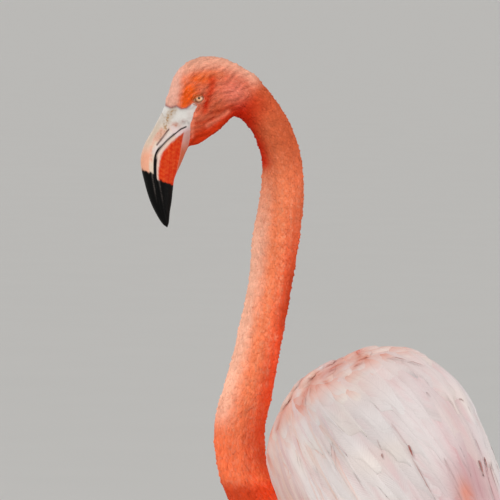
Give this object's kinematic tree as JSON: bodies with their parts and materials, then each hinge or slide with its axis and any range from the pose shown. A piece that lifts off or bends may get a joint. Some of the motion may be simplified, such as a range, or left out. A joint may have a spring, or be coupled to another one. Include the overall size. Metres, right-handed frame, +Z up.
{
  "type": "american flamingo, life-size display model",
  "caption": "Life-size adult flamingo standing on both webbed feet, long neck raised in a curve and head turned left in profile with the bent bill down.",
  "frame": {"origin": "on the floor, under the centre of the model's bounding box", "axes": "+Z up; the trunk and feet face -X; +Y to the bird's right; the head and neck are turned 50 degrees to the bird's left"},
  "size_m": [0.5124, 0.2016, 1.1908],
  "materials": {
    "pale_plumage": "smooth matte feather vanes, pinkish white with peach and rose edges",
    "rose_plumage": "soft matte feathers, rose to coral",
    "coral_plumage": "short soft matte feathers, vivid coral orange, paler at the crown and throat edges",
    "flight_feather": "satin black flight feather vanes",
    "bill_horn": "satin horn, cream and orange with a black tip",
    "eye": "wet gloss, pale yellow iris and dark pupil",
    "leg_skin": "scaly matte skin, greyish pink with redder joints and dark claws"
  },
  "bodies": {
    "root": {"trunk": "pale_plumage", "wing_left": "pale_plumage", "wing_right": "pale_plumage", "tail": "rose_plumage", "flight_feathers_left": "flight_feather", "flight_feathers_right": "flight_feather", "neck_upper": "coral_plumage", "neck_middle": "coral_plumage", "neck_lower": "coral_plumage", "head": "coral_plumage", "bill_upper": "bill_horn", "bill_lower": "bill_horn", "eye_left": "eye", "eye_right": "eye", "thigh_left": "rose_plumage", "thigh_right": "rose_plumage", "shin_left": "leg_skin", "shin_right": "leg_skin", "shank_left": "leg_skin", "shank_right": "leg_skin", "foot_left": "leg_skin", "foot_right": "leg_skin"}
  },
  "joints": []
}
